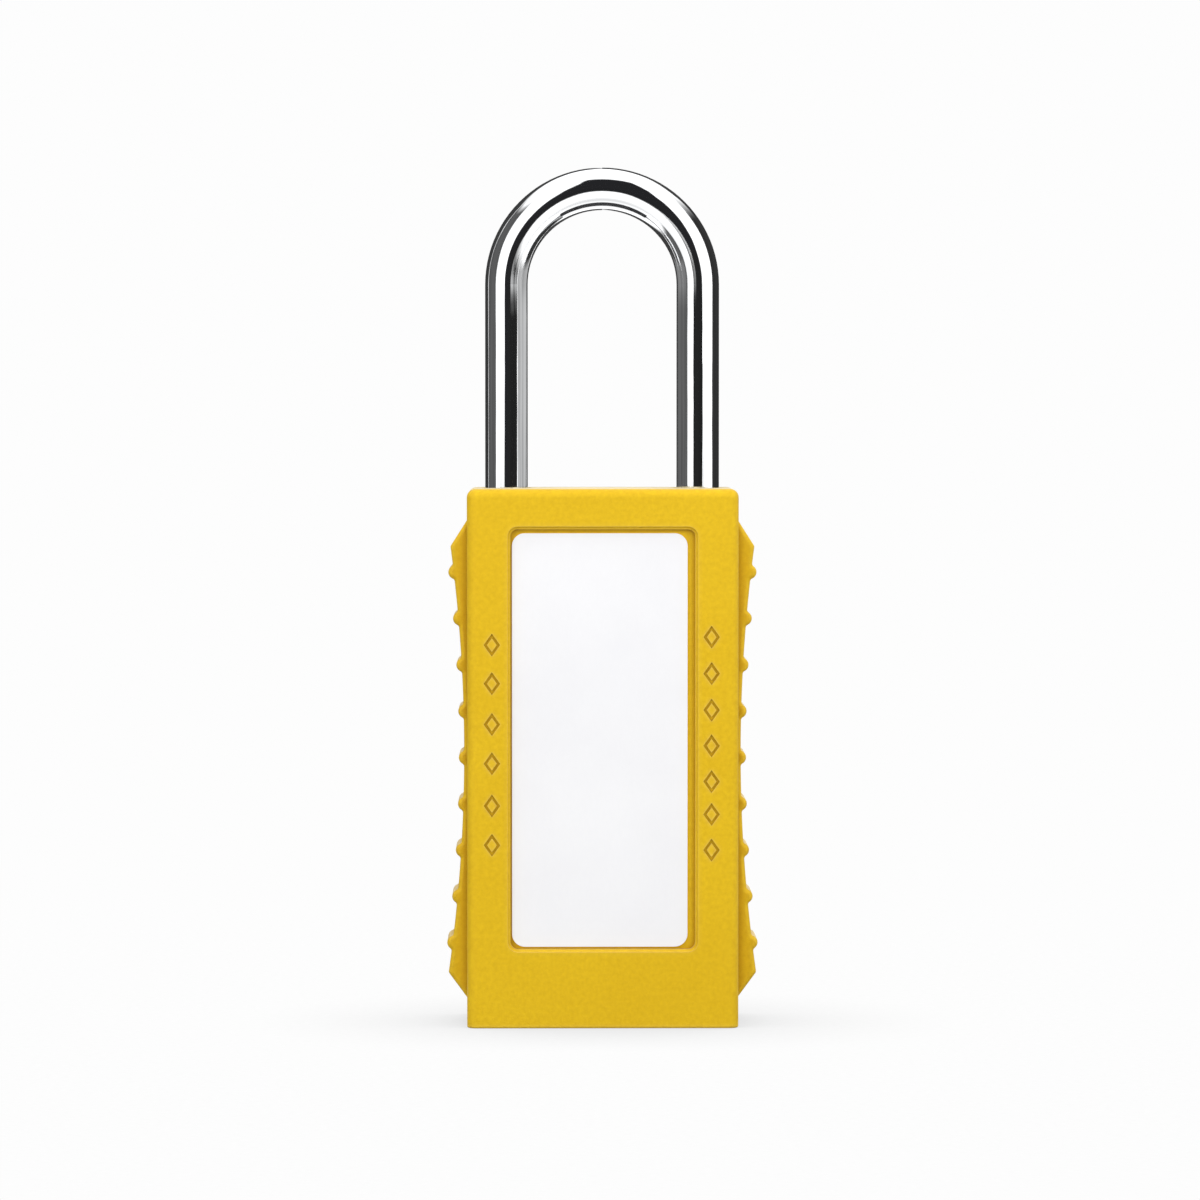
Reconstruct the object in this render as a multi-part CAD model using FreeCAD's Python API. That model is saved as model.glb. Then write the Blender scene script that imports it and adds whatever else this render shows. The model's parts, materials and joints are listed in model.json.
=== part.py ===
"""Long-body safety lockout padlock: moulded nylon body, steel shackle, double bolts, pin-tumbler cylinder.

Millimetres. Origin at the centre of the flat base, +Z up, -Y the labelled front, heel of the shackle at -X.
"""
import os
from math import cos, radians, sin, sqrt

import FreeCAD
import Part

V = FreeCAD.Vector
X_AXIS = V(1, 0, 0)
Y_AXIS = V(0, 1, 0)
Z_AXIS = V(0, 0, 1)

# Moulded body
BODY_W = 38.0
BODY_D = 20.0
BODY_H = 75.5
EDGE_R = 1.2
BASE_EDGE_R = 0.3

# Finger grips moulded on both sides
GRIP_HALF_D = 5.4
GRIP_TOP_Z = 71.1
GRIP_SHOULDER = (21.35, 67.4)
GRIP_WAIST = (19.45, 39.8)
GRIP_FOOT = (21.65, 7.4)
GRIP_BOTTOM_Z = 3.8
GRIP_EDGE_R = 0.6
RIB_COUNT = 9
RIB_TOP_Z = 63.75
RIB_PITCH = 6.52
RIB_R = 1.0
RIB_PROUD = 0.75
RIB_ROOT_R = 0.5

# Label recess and label
RECESS_W = 25.8
RECESS_Z = (11.1, 69.85)
RECESS_DEPTH = 1.0
LABEL_X = (-12.7, 11.85)
LABEL_Z = (11.4, 69.3)
LABEL_R = 1.8
LABEL_T = 0.25

# Engraved marks beside the label
MARK_W = 2.3
MARK_H = 3.2
MARK_STROKE = 0.35
MARK_DEPTH = 0.25
LEFT_MARKS = (-15.5, (53.7, 48.3, 42.6, 37.1, 31.2, 25.7))
RIGHT_MARKS = (15.2, (54.8, 49.7, 44.6, 39.6, 34.6, 30.0, 25.0))

# Shackle
LEG_R = 3.0
LEG_X = 13.5
BORE_R = 3.15
BOW_Z = 104.15
TOE_Z = 64.0
HEEL_Z = 37.8
TOE_BORE_Z = 63.0
HEEL_BORE_Z = 10.0
LIFT = 14.0
KEEPER_Z = 56.0
KEEPER_X = -10.2
KEEPER_R = 1.0
NECK_R = 2.2

# Body cavity, open at the base
CAVITY_X = 9.0
CAVITY_Y = 6.7
CAVITY_TOP = 73.1
COVER_TOP = 2.4
FIT = 0.1

# Bolts: the lower one locks the heel, the upper one the toe
BOLT_T = 2.6
LOWER_BOLT_Z = 66.0
UPPER_BOLT_Z = 69.0
BOLT_TIP_X = 11.7
BOLT_SHOULDER_X = 8.8
BOLT_INNER_X = 0.5
BOLT_Y = (-4.9, 1.6)
NOSE_Y = 1.6
BOLT_TRAVEL = 5.6
NOTCH_X = 11.85
NOTCH_SLACK = 1.5
NOTCH_SLOPE = 1.2

# Bolt case and the crank that draws the bolts
CASE_Z = (60.0, 71.8)
CASE_FLOOR = 61.3
CRANK_Z = (61.4, 64.8)
CRANK_R = 4.9
CRANK_PIN_R = 0.9
CRANK_ARM = BOLT_TRAVEL / 2 / cos(radians(45))

# Pin-tumbler cylinder
CYL_Z = (2.5, 28.0)
PLUG_R = 5.0
PLUG_BORE_R = 5.08
HOUSING_X = 15.4
HOUSING_Y = 3.4
PIN_Z = (6.0, 9.5, 13.0, 16.5, 20.0, 23.5)
PIN_R = 1.2
CHAMBER_R = 1.28
SHEAR_X = 4.8
KEY_PIN_LENGTHS = (3.1, 2.3, 2.8, 2.0, 3.3, 2.5)
KEYWAY_HALF_Y = 1.1
DRIVER_X = (5.2, 9.0)
STRIP_X = 14.3
CYL_PIN_X = -8.5
CYL_PIN_Z = 24.0


def box(x0, x1, y0, y1, z0, z1):
    return Part.makeBox(x1 - x0, y1 - y0, z1 - z0, V(x0, y0, z0))


def rod(radius, start, end):
    """Round bar between two points."""
    along = end - start
    return Part.makeCylinder(radius, along.Length, start, along)


def at_half_turn(shape):
    """The same shape turned half a turn about the vertical axis."""
    turned = shape.copy()
    turned.rotate(V(0, 0, 0), Z_AXIS, 180)
    return turned


def mirrored(shape):
    return shape.mirror(V(0, 0, 0), X_AXIS)


def edges_where(shape, test):
    return [e for e in shape.Edges if test(e.BoundBox)]


def rounded_panel(x0, x1, z0, z1, y0, y1, radius):
    """Upright rectangular panel with rounded corners."""
    panel = box(x0, x1, y0, y1, z0, z1)
    corners = edges_where(panel, lambda b: b.XLength < 1e-6 and b.ZLength < 1e-6)
    return panel.makeFillet(radius, corners)


def prism(points, y0, y1):
    """Solid from an outline in the XZ plane."""
    outline = [V(x, y0, z) for x, z in points]
    return Part.Face(Part.makePolygon(outline + outline[:1])).extrude(V(0, y1 - y0, 0))


def grip_arc_centre():
    """Centre and radius of the hollow curve through shoulder, waist and foot."""
    arc = Part.Arc(*[V(x, 0, z) for x, z in (GRIP_SHOULDER, GRIP_WAIST, GRIP_FOOT)])
    circle = arc.toShape().Curve
    return circle.Center, circle.Radius


def grip_half_width(z):
    centre, radius = grip_arc_centre()
    return centre.x - sqrt(radius ** 2 - (z - centre.z) ** 2)


def grip_outline():
    """Side view of the grip: sloped shoulder, hollow curve with ribs, sloped foot."""
    y0 = -GRIP_HALF_D
    inner = BODY_W / 2 - 1.0
    shoulder, waist, foot = [V(x, y0, z) for x, z in (GRIP_SHOULDER, GRIP_WAIST, GRIP_FOOT)]
    top = V(inner, y0, GRIP_TOP_Z + (GRIP_TOP_Z - shoulder.z) / (shoulder.x - BODY_W / 2))
    bottom = V(inner, y0, GRIP_BOTTOM_Z - (foot.z - GRIP_BOTTOM_Z) / (foot.x - BODY_W / 2))
    return Part.Face(Part.Wire([
        Part.makeLine(top, shoulder),
        Part.Arc(shoulder, waist, foot).toShape(),
        Part.makeLine(foot, bottom),
        Part.makeLine(bottom, top),
    ]))


def rib(z):
    x = grip_half_width(z) + RIB_PROUD - RIB_R
    bar = Part.makeCylinder(RIB_R, 2 * GRIP_HALF_D, V(0, 0, 0), Z_AXIS)
    lying = FreeCAD.Rotation(V(0, 0, -1), V(-1, 0, 0), V(0, -1, 0))
    bar.Placement = FreeCAD.Placement(V(x, GRIP_HALF_D, z), lying)
    return bar


def grip():
    """Right-hand finger grip: set back from both faces, ribbed across, softly rounded."""
    solid = grip_outline().extrude(V(0, 2 * GRIP_HALF_D, 0))
    solid = solid.multiFuse([rib(RIB_TOP_Z - i * RIB_PITCH) for i in range(RIB_COUNT)]).removeSplitter()
    outer = BODY_W / 2 + 0.1
    roots = edges_where(solid, lambda b: b.XMin > outer and b.XLength < 1e-6 and b.ZLength < 1e-6)
    solid = solid.makeFillet(RIB_ROOT_R, roots)
    rim = edges_where(solid, lambda b: b.YLength < 1e-6 and b.XMax > outer - 0.5)
    return solid.makeFillet(GRIP_EDGE_R, rim)


def engraved_mark(x, z):
    """Small diamond outline cut into the front face."""
    face = -BODY_D / 2

    def diamond(w, h):
        return prism([(x - w, z), (x, z + h), (x + w, z), (x, z - h)], face - 1, face + MARK_DEPTH)
    w, h = MARK_W / 2, MARK_H / 2
    return diamond(w, h).cut(diamond(w - MARK_STROKE * 1.3, h - MARK_STROKE * 1.8))


def label_recess():
    """Recess in the front face with a softly rounded rim."""
    face = -BODY_D / 2
    half = RECESS_W / 2
    z0, z1 = RECESS_Z
    pocket = rounded_panel(-half, half, z0, z1, face, face + RECESS_DEPTH, 1.0)
    lip = rounded_panel(-half - 0.4, half + 0.4, z0 - 0.4, z1 + 0.4, face - 1, face + 0.4, 1.4)
    inner_rim = edges_where(lip, lambda b: b.YMin > face + 0.39)
    return pocket.fuse(lip.makeFillet(0.39, inner_rim))


def body_shell():
    half = BODY_W / 2
    shell = box(-half, half, -BODY_D / 2, BODY_D / 2, 0, BODY_H)
    shell = shell.makeFillet(EDGE_R, edges_where(shell, lambda b: b.ZMax > BODY_H - 1))
    shell = shell.makeFillet(BASE_EDGE_R, edges_where(shell, lambda b: b.ZMax < 0.01))
    right = grip()
    return shell.multiFuse([right, mirrored(right)])


def shackle_bores():
    heel = rod(BORE_R, V(-LEG_X, 0, HEEL_BORE_Z), V(-LEG_X, 0, BODY_H + 1))
    toe = rod(BORE_R, V(LEG_X, 0, TOE_BORE_Z), V(LEG_X, 0, BODY_H + 1))
    mouths = [
        Part.makeCone(BORE_R, BORE_R + 0.5, 0.5, V(x, 0, BODY_H - 0.45), Z_AXIS)
        for x in (-LEG_X, LEG_X)
    ]
    return [heel, toe] + mouths


def body_cavities():
    cavity = box(-CAVITY_X, CAVITY_X, -CAVITY_Y, CAVITY_Y, -1, CAVITY_TOP)
    housing_slot = box(0, HOUSING_X + FIT, -HOUSING_Y - FIT, HOUSING_Y + FIT, -1, CYL_Z[1] + FIT)
    cover_seat = rounded_slab(16.3, 8.0, -1, COVER_TOP)
    lower_window = box(-NOTCH_X, -CAVITY_X + 1, -NOSE_Y - FIT, NOSE_Y + FIT,
                       LOWER_BOLT_Z - FIT, LOWER_BOLT_Z + BOLT_T + FIT)
    upper_window = box(CAVITY_X - 1, NOTCH_X, -NOSE_Y - FIT, NOSE_Y + FIT,
                       UPPER_BOLT_Z - FIT, UPPER_BOLT_Z + BOLT_T + FIT)
    keeper_hole = rod(KEEPER_R, V(KEEPER_X, -7.0, KEEPER_Z), V(KEEPER_X, BODY_D / 2, KEEPER_Z))
    cyl_pin_hole = rod(KEEPER_R, V(CYL_PIN_X, -7.9, CYL_PIN_Z), V(CYL_PIN_X, BODY_D / 2, CYL_PIN_Z))
    return [cavity, housing_slot, cover_seat, lower_window, upper_window, keeper_hole, cyl_pin_hole]


def rounded_slab(half_x, half_y, z0, z1):
    slab = box(-half_x, half_x, -half_y, half_y, z0, z1)
    return slab.makeFillet(1.5, edges_where(slab, lambda b: b.XLength < 1e-6 and b.YLength < 1e-6))


def body():
    marks = [engraved_mark(x, z) for x, rows in (LEFT_MARKS, RIGHT_MARKS) for z in rows]
    front = label_recess()
    tools = shackle_bores() + body_cavities() + [front, at_half_turn(front)] + marks
    return body_shell().cut(tools)


def bottom_cover():
    """Cover plate set into the base around the face of the plug."""
    plate = rounded_slab(16.2, 7.9, 0.3, COVER_TOP)
    return plate.cut(rod(PLUG_R + 0.25, V(0, 0, -1), V(0, 0, 5)))


def label():
    floor = -BODY_D / 2 + RECESS_DEPTH
    return rounded_panel(*LABEL_X, *LABEL_Z, floor - LABEL_T, floor, LABEL_R)


def bow():
    ring = Part.makeTorus(LEG_X, LEG_R, V(0, 0, BOW_Z), Y_AXIS)
    reach = LEG_X + LEG_R + 1
    return ring.common(box(-reach, reach, -LEG_R - 1, LEG_R + 1, BOW_Z, BOW_Z + reach))


def bolt_notch(bolt_z):
    """Notch in the right-hand leg; its sloped lower shoulder lets the leg rise as the bolt draws back."""
    floor = bolt_z - NOTCH_SLACK
    top = bolt_z + BOLT_T + 0.15
    mouth_x = LEG_X - LEG_R - 0.5
    drop = (NOTCH_X - mouth_x) * NOTCH_SLOPE
    return prism([(NOTCH_X, floor), (NOTCH_X, top), (mouth_x, top), (mouth_x, floor - drop)], -4, 4)


def shackle():
    toe = rod(LEG_R, V(LEG_X, 0, TOE_Z), V(LEG_X, 0, BOW_Z))
    toe = toe.makeFillet(0.8, edges_where(toe, lambda b: b.ZMax < TOE_Z + 0.1))
    heel = rod(LEG_R, V(-LEG_X, 0, HEEL_Z), V(-LEG_X, 0, BOW_Z))
    heel = heel.makeFillet(0.5, edges_where(heel, lambda b: b.ZMax < HEEL_Z + 0.1))
    whole = bow().multiFuse([toe, heel]).removeSplitter()
    neck_low = KEEPER_Z - KEEPER_R - 0.2 - LIFT
    neck_high = KEEPER_Z + KEEPER_R + 0.3
    sleeve = rod(LEG_R + 1, V(-LEG_X, 0, neck_low), V(-LEG_X, 0, neck_high))
    sleeve = sleeve.cut(rod(NECK_R, V(-LEG_X, 0, neck_low), V(-LEG_X, 0, neck_high)))
    return whole.cut([sleeve, bolt_notch(UPPER_BOLT_Z), mirrored(bolt_notch(LOWER_BOLT_Z))])


def coil(radius, wire_r, pitch, height, foot, direction):
    """Coil spring standing on foot and running along direction."""
    helix = Part.makeHelix(pitch, height - 2 * wire_r, radius)
    section = Part.Wire([Part.makeCircle(wire_r, V(radius, 0, 0), Y_AXIS)])
    solid = Part.Wire(helix.Edges).makePipeShell([section], True, True)
    solid.translate(V(0, 0, wire_r))
    solid.Placement = FreeCAD.Placement(foot, FreeCAD.Rotation(Z_AXIS, direction)).multiply(solid.Placement)
    return solid


def shackle_spring():
    return coil(2.3, 0.35, 2.6, HEEL_Z - 12.1, V(-LEG_X, 0, 12.05), Z_AXIS)


def spring_seat():
    return rod(BORE_R - 0.05, V(-LEG_X, 0, HEEL_BORE_Z), V(-LEG_X, 0, 12.0))


def shackle_retaining_pin():
    return rod(KEEPER_R - 0.02, V(KEEPER_X, -6.9, KEEPER_Z), V(KEEPER_X, 8.9, KEEPER_Z))


def cylinder_retaining_pin():
    return rod(KEEPER_R - 0.02, V(CYL_PIN_X, -7.8, CYL_PIN_Z), V(CYL_PIN_X, 8.9, CYL_PIN_Z))


def bolt(z):
    """Right-hand bolt: square nose, flat tail and an open slot for its crank pin."""
    y0, y1 = -BOLT_Y[1], -BOLT_Y[0]
    tail = box(BOLT_INNER_X, BOLT_SHOULDER_X, y0, y1, z, z + BOLT_T)
    nose = box(BOLT_SHOULDER_X - 1, BOLT_TIP_X, -NOSE_Y, NOSE_Y, z, z + BOLT_T)
    pin_x = BOLT_TRAVEL / 2
    slot = box(pin_x - CRANK_PIN_R - 0.2, pin_x + CRANK_PIN_R + 0.2, 1.75, y1 + 1, z - 1, z + BOLT_T + 1)
    return tail.fuse(nose).removeSplitter().cut(slot)


def bolt_case():
    x, y = BOLT_SHOULDER_X + 0.1, CAVITY_Y - FIT
    case = box(-x, x, -y, y, *CASE_Z)
    well = rod(CRANK_R + 0.25, V(0, 0, CASE_FLOOR), V(0, 0, CASE_Z[1] + 1))
    shaft_hole = rod(2.8, V(0, 0, CASE_Z[0] - 1), V(0, 0, CASE_Z[1]))
    near, far = BOLT_Y[0] - FIT, BOLT_Y[1] + FIT
    lower_way = box(-x - 1, 5.3, near, far, LOWER_BOLT_Z - FIT, CASE_Z[1] + 1)
    upper_way = box(-5.3, x + 1, -far, -near, UPPER_BOLT_Z - FIT, CASE_Z[1] + 1)
    return case.cut([well, shaft_hole, lower_way, upper_way])


def bolt_case_lid():
    x, y = BOLT_SHOULDER_X + 0.1, CAVITY_Y - FIT
    plate = box(-x, x, -y, y, CASE_Z[1], CAVITY_TOP - FIT)
    foot = box(-x + 0.1, -5.6, BOLT_Y[0], BOLT_Y[1], LOWER_BOLT_Z + BOLT_T + FIT, CASE_Z[1] + 0.5)
    return plate.fuse(foot).removeSplitter()


def crank_disc():
    """Disc with two drive pins: the short one draws the lower bolt, the long one the upper."""
    disc = rod(CRANK_R, V(0, 0, CRANK_Z[0]), V(0, 0, CRANK_Z[1]))
    for angle, top in ((225, LOWER_BOLT_Z + 2.4), (45, UPPER_BOLT_Z + 2.4)):
        foot = V(CRANK_ARM * cos(radians(angle)), CRANK_ARM * sin(radians(angle)), CRANK_Z[0] + 1)
        disc = disc.fuse(rod(CRANK_PIN_R, foot, V(foot.x, foot.y, top)))
    return disc.cut(box(-2.25, 2.25, -0.95, 0.95, CRANK_Z[0] - 1, CRANK_Z[0] + 2.2))


def drive_shaft():
    """Flat bar from the tail of the plug up to the crank disc."""
    return box(-2.2, 2.2, -0.9, 0.9, 26.0, CRANK_Z[0] + 2.1)


def spacer_sleeve():
    x, y = CAVITY_X - FIT, CAVITY_Y - FIT
    z0, z1 = CYL_Z[1] + 0.05, CASE_Z[0] - 0.05
    outer = box(-x, x, -y, y, z0, z1)
    return outer.cut(box(-x + 1.6, x - 1.6, -y + 0.85, y - 0.85, z0 - 1, z1 + 1))


def cylinder_housing():
    x, y = CAVITY_X - FIT, CAVITY_Y - FIT
    core = box(-x, x, -y, y, *CYL_Z)
    tower = box(0, HOUSING_X, -HOUSING_Y, HOUSING_Y, *CYL_Z)
    chambers = [rod(CHAMBER_R, V(0, 0, z), V(HOUSING_X + 1, 0, z)) for z in PIN_Z]
    strip_seat = box(STRIP_X, HOUSING_X + 1, -2.1, 2.1, 3.9, 25.6)
    plug_bore = rod(PLUG_BORE_R, V(0, 0, 0), V(0, 0, 30))
    pin_groove = rod(KEEPER_R, V(CYL_PIN_X, -9, CYL_PIN_Z), V(CYL_PIN_X, 9, CYL_PIN_Z))
    return core.fuse(tower).removeSplitter().cut(chambers + [strip_seat, plug_bore, pin_groove])


def cylinder_plug():
    plug = rod(PLUG_R, V(0, 0, 0.6), V(0, 0, 29.2))
    groove = rod(PLUG_R + 1, V(0, 0, 28.15), V(0, 0, 28.75))
    groove = groove.cut(rod(PLUG_R - 0.7, V(0, 0, 28.0), V(0, 0, 29)))
    keyway = box(-3.9, 2.2, -KEYWAY_HALF_Y, KEYWAY_HALF_Y, 0, 25.4)
    ward = box(-1.6, -0.7, -KEYWAY_HALF_Y - 0.1, -0.3, -1, 26)
    chambers = [rod(CHAMBER_R, V(0.2, 0, z), V(PLUG_R + 1, 0, z)) for z in PIN_Z]
    tail_slot = box(-2.25, 2.25, -0.95, 0.95, 25.9, 30)
    return plug.cut([groove, keyway.cut(ward), tail_slot] + chambers)


def plug_clip():
    """Open snap ring in the groove behind the housing."""
    ring = rod(PLUG_R + 0.6, V(0, 0, 28.2), V(0, 0, 28.7)).cut(rod(PLUG_R - 0.65, V(0, 0, 28), V(0, 0, 29)))
    return ring.cut(box(-7, 0, -1.5, 1.5, 28, 29))


def key_pin(z, length):
    """Tumbler pin with a pointed tip towards the keyway."""
    tip = 0.7
    stem = rod(PIN_R, V(SHEAR_X - length + tip, 0, z), V(SHEAR_X, 0, z))
    point = Part.makeCone(0.4, PIN_R, tip, V(SHEAR_X - length, 0, z), X_AXIS)
    return stem.fuse(point)


def driver_pin(z):
    return rod(PIN_R, V(DRIVER_X[0], 0, z), V(DRIVER_X[1], 0, z))


def pin_springs():
    x = DRIVER_X[1] + 0.05
    length = STRIP_X - x - 0.05
    return Part.Compound([coil(0.85, 0.15, 1.15, length, V(x, 0, z), X_AXIS) for z in PIN_Z])


def chamber_strip():
    return box(STRIP_X, HOUSING_X - 0.05, -2.05, 2.05, 3.95, 25.55)


def nodes():
    front_label = label()
    found = {
        "body": body(),
        "bottom_cover": bottom_cover(),
        "front_label": front_label,
        "rear_label": at_half_turn(front_label),
        "shackle": shackle(),
        "shackle_spring": shackle_spring(),
        "spring_seat": spring_seat(),
        "shackle_retaining_pin": shackle_retaining_pin(),
        "bolt_case": bolt_case(),
        "bolt_case_lid": bolt_case_lid(),
        "left_bolt": at_half_turn(bolt(LOWER_BOLT_Z)),
        "right_bolt": bolt(UPPER_BOLT_Z),
        "crank_disc": crank_disc(),
        "drive_shaft": drive_shaft(),
        "spacer_sleeve": spacer_sleeve(),
        "cylinder_housing": cylinder_housing(),
        "cylinder_plug": cylinder_plug(),
        "plug_clip": plug_clip(),
        "pin_springs": pin_springs(),
        "chamber_strip": chamber_strip(),
        "cylinder_retaining_pin": cylinder_retaining_pin(),
    }
    for i, (z, length) in enumerate(zip(PIN_Z, KEY_PIN_LENGTHS), 1):
        found[f"key_pin_{i}"] = key_pin(z, length)
        found[f"driver_pin_{i}"] = driver_pin(z)
    return found


os.makedirs("parts", exist_ok=True)
for name, shape in nodes().items():
    shape.exportStep(f"parts/{name}.step")
    print(name, "valid" if shape.isValid() else "INVALID", len(shape.Solids), round(shape.Volume, 2))
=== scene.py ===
"""Looks of the long-body safety lockout padlock. Metres, +Z up, -Y the labelled front."""

import json
from math import cos, radians, sin

import bmesh
import bpy
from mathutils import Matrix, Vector


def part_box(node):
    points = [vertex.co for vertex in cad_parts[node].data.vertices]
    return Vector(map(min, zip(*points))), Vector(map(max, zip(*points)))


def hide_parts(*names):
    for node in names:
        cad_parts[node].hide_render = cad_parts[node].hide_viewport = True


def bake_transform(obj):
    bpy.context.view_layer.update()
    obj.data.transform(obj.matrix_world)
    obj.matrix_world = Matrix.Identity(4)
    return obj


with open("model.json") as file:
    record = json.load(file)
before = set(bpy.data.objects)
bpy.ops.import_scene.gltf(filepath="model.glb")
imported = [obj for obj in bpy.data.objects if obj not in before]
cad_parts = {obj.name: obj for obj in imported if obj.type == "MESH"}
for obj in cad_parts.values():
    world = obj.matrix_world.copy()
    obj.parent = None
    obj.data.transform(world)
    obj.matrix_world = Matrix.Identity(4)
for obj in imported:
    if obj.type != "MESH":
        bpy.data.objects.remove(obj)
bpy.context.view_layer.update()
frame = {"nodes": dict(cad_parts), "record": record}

CAMERA_AZIMUTH = -0.6
CAMERA_ELEVATION = 2.0
CAMERA_DISTANCE = 0.80
CAMERA_HEIGHT = 0.0600
VIEW_WIDTH = 0.1675
BACKDROP = 253
LIT_POINT = (0, 0, 0.05)
SPRING_MARGIN = 0.0002
GRAIN_SCALE = 1500
# Painted reflection: a plastic surface this far from polished metal, or seen in it by a second bounce,
# shows in the metal as flat grey.
MIRROR_REACH = 0.008
FLOOR_RADIUS = 2.5
FLOOR_FADE = (0.08, 0.34)
CONTACT_SHADE = 0.34
CARD_TOP = 0.112
CARD_FOOT_DROP = 0.0035
CARD_FADE = 0.012
SLOPE_FADE = 0.2
# Dark gaps between the bright panels that polished metal sees: from, to, softness in degrees, brightness.
DARK_BANDS = ((-178, -118, 4, 0.05), (-112, -60, 3, 0.13), (136, 178, 3, 0.06))


def linear(r, g, b):
    """Linear colour from display values of 0 to 255."""
    def one(v):
        v /= 255
        return v / 12.92 if v <= 0.04045 else ((v + 0.055) / 1.055) ** 2.4
    return (one(r), one(g), one(b), 1.0)


class Shader:
    """A node tree built one call at a time."""

    def __init__(self, tree):
        self.tree = tree
        tree.nodes.clear()

    def node(self, kind, inputs=None, **settings):
        made = self.tree.nodes.new(kind)
        for key, value in settings.items():
            setattr(made, key, value)
        for key, value in (inputs or {}).items():
            self.feed(made.inputs[key], value)
        return made

    def feed(self, socket, value):
        if isinstance(value, bpy.types.NodeSocket):
            self.tree.links.new(value, socket)
        else:
            socket.default_value = value

    def math(self, operation, a, b=0.0, clamp=False):
        return self.node("ShaderNodeMath", {0: a, 1: b}, operation=operation, use_clamp=clamp).outputs[0]

    def band(self, value, low, high, soft):
        """1 between low and high, falling to 0 over soft on either side."""
        rise = self.ramp(value, low - soft, low)
        fall = self.ramp(value, high, high + soft, 1.0, 0.0)
        return self.math("MULTIPLY", rise, fall)

    def ramp(self, value, start, end, low=0.0, high=1.0):
        """low before start, high after end, and a smooth step between them."""
        return self.node("ShaderNodeMapRange", {0: value, 1: start, 2: end, 3: low, 4: high},
                         interpolation_type="SMOOTHSTEP").outputs[0]

    def z_of(self, vector):
        return self.node("ShaderNodeSeparateXYZ", {0: vector}).outputs[2]

    def mix(self, factor, a, b):
        made = self.node("ShaderNodeMix", data_type="RGBA")
        self.feed(made.inputs[0], factor)
        self.feed(made.inputs[6], a)
        self.feed(made.inputs[7], b)
        return made.outputs[2]

    def noise(self, scale, detail=3.0, roughness=0.5, stretch=(1, 1, 1)):
        place = self.node("ShaderNodeTexCoord").outputs["Object"]
        if stretch != (1, 1, 1):
            place = self.node("ShaderNodeMapping", {"Vector": place, "Scale": stretch}).outputs[0]
        return self.node("ShaderNodeTexNoise", {"Vector": place, "Scale": scale, "Detail": detail,
                                                "Roughness": roughness}).outputs[0]

    def remap(self, value, low, high, start=0.3, end=0.7):
        return self.node("ShaderNodeMapRange", {0: value, 1: start, 2: end, 3: low, 4: high}).outputs[0]

    def closeness(self, reach_mm, inside):
        """0 on open flat surface, towards 1 on outer edges if inside, or in inner corners if not."""
        near = self.node("ShaderNodeAmbientOcclusion", {"Distance": reach_mm / 1000}, samples=6,
                         inside=inside, only_local=True)
        return self.math("SUBTRACT", 1.0, near.outputs["AO"], clamp=True)

    def edges(self, reach_mm=0.7):
        return self.remap(self.closeness(reach_mm, True), 0.0, 1.0, 0.05, 0.5)

    def hollows(self, reach_mm=0.8):
        return self.remap(self.closeness(reach_mm, False), 0.0, 1.0, 0.05, 0.6)


def new_material(name):
    material = bpy.data.materials.new(name)
    material.use_nodes = True
    return material, Shader(material.node_tree)


def finish_surface(shader, bump_height, bump_mm, **inputs):
    """Principled surface with a bump of the given depth."""
    bump = shader.node("ShaderNodeBump", {"Height": bump_height, "Distance": bump_mm / 1000,
                                          "Strength": 1.0})
    surface = shader.node("ShaderNodeBsdfPrincipled", {**inputs, "Normal": bump.outputs[0]})
    shader.node("ShaderNodeOutputMaterial", {"Surface": surface.outputs[0]})


def moulded_plastic(name, colour, dark, shade_tint, highlight_tint, rough=0.45, grain_mm=0.03):
    """Matt moulded nylon: fine grain, faint flow marks, painted highlights on the edges and on upward
    grazing faces, painted shade in the hollows, and painted flat grey where polished metal reflects it.
    """
    material, s = new_material(name)
    flow = s.remap(s.noise(60, 4), 0.0, 1.0)
    speck = s.remap(s.noise(GRAIN_SCALE, 3, 0.6), 0.0, 1.0)
    base = s.mix(s.math("MULTIPLY", flow, 0.18), colour, dark)
    base = s.mix(s.math("MULTIPLY", speck, 0.34), base, dark)
    # Painted highlight: convex edges blend a little towards the highlight tint.
    base = s.mix(s.math("MULTIPLY", s.edges(), 0.10), base, highlight_tint)
    # Painted highlight: upward faces seen at a grazing angle blend towards the highlight tint, as if lit
    # from above.
    facing = s.node("ShaderNodeLayerWeight", {"Blend": 0.5}).outputs["Facing"]
    upward = s.z_of(s.node("ShaderNodeNewGeometry").outputs["Normal"])
    painted_sheen = s.math("MULTIPLY", s.math("POWER", facing, 5.0), s.math("MULTIPLY", upward, 1.2, clamp=True))
    base = s.mix(painted_sheen, base, highlight_tint)
    # Painted shade: inner corners and hollows blend towards the shade tint.
    base = s.mix(s.math("MULTIPLY", s.hollows(1.4), 0.8), base, shade_tint)
    roughness = s.math("ADD", s.math("MULTIPLY", flow, 0.08), rough)
    height = s.math("ADD", s.noise(GRAIN_SCALE, 4, 0.65), s.math("MULTIPLY", s.noise(260, 2), 0.7))
    # Painted reflection: seen in polished metal beyond the mirror reach or after a second bounce, this
    # plastic turns flat grey.
    rays = s.node("ShaderNodeLightPath").outputs
    far = s.math("MAXIMUM", s.math("GREATER_THAN", rays["Ray Length"], MIRROR_REACH),
                 s.math("GREATER_THAN", rays["Ray Depth"], 1.5))
    base = s.mix(s.math("MULTIPLY", rays["Is Glossy Ray"], far), base, linear(52, 52, 54))
    finish_surface(s, height, grain_mm, **{"Base Color": base, "Roughness": roughness, "IOR": 1.5,
                                           "Specular IOR Level": 0.17})
    return material


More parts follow.
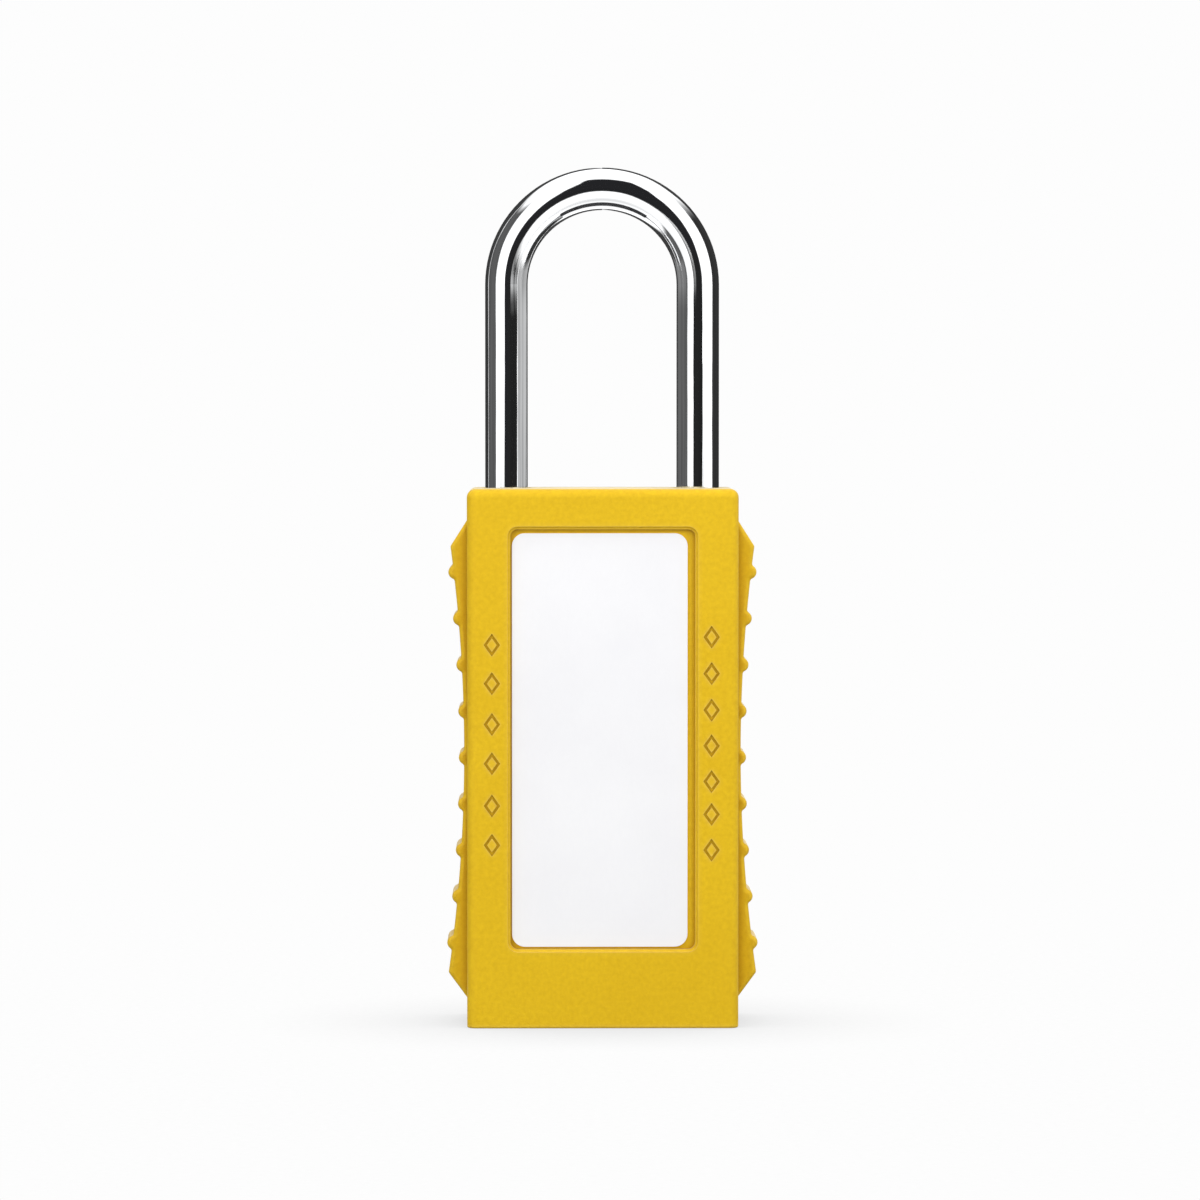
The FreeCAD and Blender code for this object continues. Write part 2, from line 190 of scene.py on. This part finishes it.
def label_film(name):
    """Blank write-on film: faint fibre, tiny scuffs, satin face."""
    material, s = new_material(name)
    cloud = s.remap(s.noise(45, 4), 0.0, 1.0)
    fibre = s.noise(3000, 2, 0.6, (1, 1, 0.3))
    base = s.mix(cloud, linear(247, 247, 248), linear(240, 240, 242))
    base = s.mix(s.math("MULTIPLY", s.remap(fibre, 0.0, 1.0), 0.05), base, linear(222, 222, 224))
    roughness = s.math("ADD", s.math("MULTIPLY", cloud, 0.1), 0.42)
    finish_surface(s, fibre, 0.004, **{"Base Color": base, "Roughness": roughness, "IOR": 1.45})
    return material


def metal(name, colour, dark, rough, scratch=(1, 1, 0.05), depth_mm=0.004, spots=0.15):
    """Bare or plated metal: drawn or turned scratches, uneven polish, darker in the hollows."""
    material, s = new_material(name)
    patch = s.remap(s.noise(90, 4), 0.0, 1.0)
    lines = s.noise(1600, 3, 0.6, scratch)
    base = s.mix(s.math("MULTIPLY", patch, spots), colour, dark)
    base = s.mix(s.math("MULTIPLY", s.hollows(), 0.6), base, dark)
    roughness = s.math("ADD", s.math("MULTIPLY", patch, rough * 0.5), rough)
    roughness = s.math("ADD", roughness, s.math("MULTIPLY", s.remap(lines, 0.0, 1.0), rough * 0.4))
    finish_surface(s, lines, depth_mm, **{"Base Color": base, "Roughness": roughness, "Metallic": 1.0})
    return material


def bent_rod_steel(name):
    """Bright plating on a bent rod: draw lines that follow the bend, slight waviness, streaked polish."""
    material, s = new_material(name)
    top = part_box("shackle")[1]
    place = s.node("ShaderNodeTexCoord").outputs["Object"]
    axes = s.node("ShaderNodeSeparateXYZ", {0: place}).outputs
    over = s.math("MAXIMUM", s.math("SUBTRACT", axes[2], top.z - top.x), 0.0)
    radius = s.math("SQRT", s.math("ADD", s.math("POWER", s.math("ABSOLUTE", axes[0]), 2.0),
                                   s.math("POWER", over, 2.0)))
    along = s.math("MULTIPLY", axes[2], 0.015)
    unrolled = s.node("ShaderNodeCombineXYZ", {0: radius, 1: axes[1], 2: along}).outputs[0]
    lines = s.node("ShaderNodeTexNoise", {"Vector": unrolled, "Scale": GRAIN_SCALE, "Detail": 4.0,
                                          "Roughness": 0.6}).outputs[0]
    streaks = s.remap(lines, 0.0, 1.0, 0.4, 0.68)
    wave = s.noise(130, 2, 0.4)
    base = s.mix(s.math("MULTIPLY", streaks, 0.5), linear(242, 243, 244), linear(104, 105, 108))
    roughness = s.math("ADD", s.math("MULTIPLY", streaks, 0.06), 0.03)
    height = s.math("ADD", wave, s.math("MULTIPLY", lines, 0.08))
    finish_surface(s, height, 0.08, **{"Base Color": base, "Roughness": roughness, "Metallic": 1.0})
    return material


def dress():
    """One finish per material slot of the record."""
    # For each nylon: its colour, a darker tone, the painted shade tint of the hollows, the painted
    # highlight tint of edges and upward grazing faces.
    yellow = moulded_plastic("yellow_nylon", linear(234, 194, 28), linear(198, 148, 8), linear(168, 122, 4),
                             linear(250, 234, 190), grain_mm=0.045)
    black = moulded_plastic("black_nylon", linear(38, 38, 40), linear(22, 22, 24), linear(14, 14, 15),
                            linear(70, 70, 72), 0.5)
    finishes = {
        "body_nylon": yellow,
        "cover_nylon": black,
        "spacer_nylon": black,
        "label_film": label_film("blank_label"),
        "shackle_steel": bent_rod_steel("plated_steel"),
        "spring_steel": metal("spring_wire", linear(172, 174, 178), linear(96, 98, 102), 0.25),
        "pin_steel": metal("ground_steel", linear(186, 188, 190), linear(120, 122, 126), 0.2),
        "mechanism_steel": metal("stamped_steel", linear(176, 178, 182), linear(110, 112, 116), 0.3,
                                 (1, 1, 1)),
        "mechanism_cast": metal("cast_zinc", linear(168, 170, 174), linear(118, 120, 124), 0.42,
                                (1, 1, 1), 0.012),
        "cylinder_cast": metal("milled_zinc", linear(184, 184, 182), linear(130, 130, 128), 0.33,
                               (0.05, 1, 1)),
        "plug_brass": metal("turned_brass", linear(214, 176, 96), linear(150, 112, 52), 0.22, (1, 1, 0.05)),
        "tumbler_brass": metal("pin_brass", linear(222, 184, 104), linear(160, 122, 60), 0.24),
    }
    for entry in frame["record"]["subparts"]:
        piece = frame["nodes"][entry["node"]]
        piece.data.materials.clear()
        piece.data.materials.append(finishes[entry["material_slot"]])


def live_spring(name, node, low_z, high_z):
    """A copy of the node's coils between two heights, as an object of its own; the node itself is hidden.
    """
    mesh = frame["nodes"][node].data.copy()
    coils = bmesh.new()
    coils.from_mesh(mesh)
    bmesh.ops.delete(coils, geom=[v for v in coils.verts if not low_z < v.co.z < high_z], context="VERTS")
    coils.to_mesh(mesh)
    coils.free()
    spring = bpy.data.objects.new(name, mesh)
    bpy.context.scene.collection.objects.link(spring)
    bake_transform(spring)
    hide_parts(node)


def springs():
    """The shackle spring and the six pin springs, each as its own copy of the coils."""
    low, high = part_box("shackle_spring")
    live_spring("lifting_spring", "shackle_spring", low.z - SPRING_MARGIN, high.z + SPRING_MARGIN)
    low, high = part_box("pin_springs")
    for i in range(1, 7):
        pin_low, pin_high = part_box(f"driver_pin_{i}")
        live_spring(f"pin_spring_{i}", "pin_springs", pin_low.z - SPRING_MARGIN, pin_high.z + SPRING_MARGIN)


def floor():
    """Pale paper floor that glows evenly, with a painted soft contact shadow, fading into the white
    surroundings.
    """
    bpy.ops.mesh.primitive_circle_add(vertices=96, radius=FLOOR_RADIUS, fill_type="NGON")
    disc = bpy.context.object
    disc.name = "studio_floor"
    material, s = new_material("pale_floor")
    place = s.node("ShaderNodeTexCoord").outputs["Object"]
    away = s.node("ShaderNodeVectorMath", {0: place}, operation="LENGTH").outputs["Value"]
    rays = s.node("ShaderNodeLightPath").outputs
    away = s.math("MULTIPLY", away, s.math("ADD", 1.0, s.math("MULTIPLY", rays["Is Glossy Ray"], 1.6)))
    fade = s.ramp(away, *FLOOR_FADE)
    paper = s.mix(s.remap(s.noise(900, 3), 0.0, 1.0), linear(254, 254, 254), linear(252, 252, 252))
    # Painted contact shadow: the glowing paper darkens where the padlock hides the nearby surroundings.
    near = s.node("ShaderNodeAmbientOcclusion", {"Distance": 0.03}, samples=12).outputs["AO"]
    shade = s.math("MULTIPLY", s.math("SUBTRACT", 1.0, near, clamp=True), CONTACT_SHADE)
    paper = s.mix(shade, paper, (0, 0, 0, 1))
    # The floor also glows brighter for polished metal and glows dim grey as painted bounce light onto the
    # padlock.
    tone = s.mix(rays["Is Glossy Ray"], paper, (1.15, 1.15, 1.15, 1))
    tone = s.mix(rays["Is Diffuse Ray"], tone, (0.22, 0.22, 0.22, 1))
    glow = s.node("ShaderNodeEmission", {"Color": tone})
    clear = s.node("ShaderNodeBsdfTransparent")
    from_below = s.node("ShaderNodeNewGeometry").outputs["Backfacing"]
    fade = s.math("MAXIMUM", fade, from_below)
    mixed = s.node("ShaderNodeMixShader", {0: fade, 1: glow.outputs[0], 2: clear.outputs[0]})
    s.node("ShaderNodeOutputMaterial", {"Surface": mixed.outputs[0]})
    disc.data.materials.append(material)


def flag(name, near, far, low, high, value, slope_limit=0.08):
    """Upright card seen only in upright polished metal: it fades towards its top and for sloping rays."""
    mesh = bpy.data.meshes.new(name)
    corners = [(*near, low), (*far, low), (*far, high), (*near, high)]
    mesh.from_pydata(corners, [], [(0, 1, 2, 3)])
    card = bpy.data.objects.new(name, mesh)
    material, s = new_material(name)
    height = s.z_of(s.node("ShaderNodeTexCoord").outputs["Object"])
    slope = s.math("ABSOLUTE", s.z_of(s.node("ShaderNodeNewGeometry").outputs["Incoming"]))
    steep = s.remap(slope, 0.0, 1.0, slope_limit, slope_limit + SLOPE_FADE)
    fade = s.math("MAXIMUM", s.ramp(height, high - CARD_FADE, high), steep)
    glow = s.node("ShaderNodeEmission", {"Color": (value, value, value, 1)})
    clear = s.node("ShaderNodeBsdfTransparent")
    mixed = s.node("ShaderNodeMixShader", {0: fade, 1: glow.outputs[0], 2: clear.outputs[0]})
    s.node("ShaderNodeOutputMaterial", {"Surface": mixed.outputs[0]})
    mesh.materials.append(material)
    card.visible_camera = False
    card.visible_diffuse = False
    card.visible_shadow = False
    card.visible_transmission = False
    bpy.context.scene.collection.objects.link(card)


def flags():
    """Cards that shape the reflections in the shackle legs."""
    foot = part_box("body")[1].z - CARD_FOOT_DROP
    flag("front_flag", (-0.0056, -0.045), (0.0315, -0.045), foot, CARD_TOP, 0.02)
    flag("near_flag", (0.0039, -0.022), (0.0231, -0.022), foot, CARD_TOP, 0.02)
    flag("right_flag", (0.020, -0.0027), (0.020, 0.025), foot, 0.130, 0.04, 0.75)
    flag("gap_flag_left", (-0.0005, -0.0081), (-0.0005, 0.0122), foot, CARD_TOP, 0.6)
    flag("gap_flag_right", (0.0005, -0.0081), (0.0005, 0.0122), foot, CARD_TOP, 0.14)


def surroundings():
    """White room to the eye; polished metal sees bright panels with dark gaps between them."""
    world = bpy.data.worlds.new("studio")
    bpy.context.scene.world = world
    world.use_nodes = True
    s = Shader(world.node_tree)
    axes = s.node("ShaderNodeSeparateXYZ", {0: s.node("ShaderNodeTexCoord").outputs["Generated"]}).outputs
    around = s.math("MULTIPLY", s.math("ARCTAN2", axes[0], s.math("MULTIPLY", axes[1], -1.0)), 57.2958)
    up = s.math("MULTIPLY", s.math("ARCSINE", axes[2]), 57.2958)
    level = s.band(up, -35, 40, 10)
    shade = (1.6, 1.6, 1.6, 1)
    for low, high, soft, value in DARK_BANDS:
        mask = s.math("MULTIPLY", s.band(around, low, high, soft), level)
        shade = s.mix(mask, shade, (value, value, value, 1))
    front = s.math("MULTIPLY", s.band(around, -8, 21, 3), s.band(up, -12, 50, 5))
    shade = s.mix(front, shade, (0.02, 0.02, 0.022, 1))
    rays = s.node("ShaderNodeLightPath").outputs
    lit = s.mix(rays["Is Glossy Ray"], (0.60, 0.60, 0.61, 1), shade)
    seen = s.mix(rays["Is Camera Ray"], lit, linear(BACKDROP, BACKDROP, BACKDROP))
    backdrop = s.node("ShaderNodeBackground", {"Color": seen, "Strength": 1.0})
    s.node("ShaderNodeOutputWorld", {"Surface": backdrop.outputs[0]})


def softbox(name, place, size, power):
    light = bpy.data.lights.new(name, "AREA")
    light.shape = "RECTANGLE"
    light.size, light.size_y = size
    light.energy = power
    lamp = bpy.data.objects.new(name, light)
    lamp.location = place
    lamp.rotation_euler = (Vector(LIT_POINT) - Vector(place)).to_track_quat("-Z", "Y").to_euler()
    lamp.visible_glossy = False
    lamp.visible_camera = False
    bpy.context.scene.collection.objects.link(lamp)


def lights():
    softbox("overhead", (0.0, -0.15, 0.75), (0.7, 0.5), 1.6)
    softbox("front_left", (-0.55, -0.60, 0.35), (0.5, 0.7), 2.2)
    softbox("front_right", (0.60, -0.55, 0.30), (0.5, 0.7), 2.15)
    softbox("front", (0.0, -0.90, 0.30), (0.4, 0.5), 1.65)
    softbox("rear", (0.25, 0.85, 0.35), (0.6, 0.7), 3.0)


def camera():
    data = bpy.data.cameras.new("camera")
    data.sensor_width = 36.0
    data.lens = 36.0 * CAMERA_DISTANCE / VIEW_WIDTH
    data.clip_end = 20
    eye = bpy.data.objects.new("camera", data)
    turn, tilt = radians(CAMERA_AZIMUTH), radians(CAMERA_ELEVATION)
    target = Vector((-0.0004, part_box("body")[0].y, CAMERA_HEIGHT))
    toward = Vector((sin(turn) * cos(tilt), -cos(turn) * cos(tilt), sin(tilt)))
    eye.location = target + CAMERA_DISTANCE * toward
    eye.rotation_euler = (target - eye.location).to_track_quat("-Z", "Y").to_euler()
    bpy.context.scene.collection.objects.link(eye)
    bpy.context.scene.camera = eye


dress()
springs()
floor()
flags()
surroundings()
lights()
camera()
bpy.context.scene.view_settings.view_transform = "Standard"
